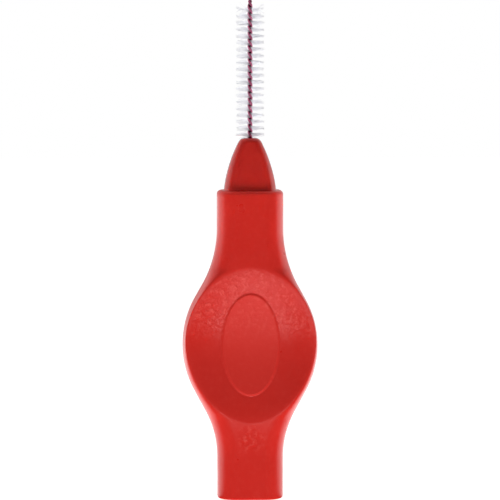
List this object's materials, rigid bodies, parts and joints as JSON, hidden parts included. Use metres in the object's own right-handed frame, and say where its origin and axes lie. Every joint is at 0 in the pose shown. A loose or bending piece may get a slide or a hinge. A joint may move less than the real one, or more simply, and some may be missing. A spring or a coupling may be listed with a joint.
{
  "type": "interdental brush",
  "caption": "Interdental brush: soft waisted grip with an oval-padded thumb dish on each side, hard tapered nose and a twisted-wire cylindrical bristle brush that flexes at its root.",
  "frame": {"origin": "middle of the flat stem end, on the brush's long axis", "axes": "+Z along the length from the stem end to the wire tip, -Y out of the front thumb dish, X across the grip"},
  "size_m": [0.015, 0.0058, 0.0555],
  "materials": {
    "grip_red": "soft red elastomer, satin, faintly mottled by handling",
    "core_red": "hard red plastic, semi-gloss, as moulded",
    "wire_raspberry": "steel wire in a thin raspberry plastic coating, glossy",
    "filament_white": "white translucent nylon filament"
  },
  "bodies": {
    "handle": {"grip": "grip_red", "nose_core": "core_red"},
    "brush": {"twisted_wire": "wire_raspberry", "bristle_row_01": "filament_white", "bristle_row_02": "filament_white", "bristle_row_03": "filament_white", "bristle_row_04": "filament_white", "bristle_row_05": "filament_white", "bristle_row_06": "filament_white", "bristle_row_07": "filament_white", "bristle_row_08": "filament_white", "bristle_row_09": "filament_white", "bristle_row_10": "filament_white", "bristle_row_11": "filament_white", "bristle_row_12": "filament_white", "bristle_row_13": "filament_white", "bristle_row_14": "filament_white", "bristle_row_15": "filament_white", "bristle_row_16": "filament_white", "bristle_row_17": "filament_white", "bristle_row_18": "filament_white", "bristle_row_19": "filament_white", "bristle_row_20": "filament_white"}
  },
  "joints": [
    {"name": "wire_flex", "type": "hinge", "parent": "handle", "child": "brush", "pos_m": [0, 0, 0.04018], "axis": [1, 0, 0], "range_deg": [-45, 45], "stiffness_Nm_per_rad": 0.003, "deforming": ["twisted_wire"]}
  ]
}
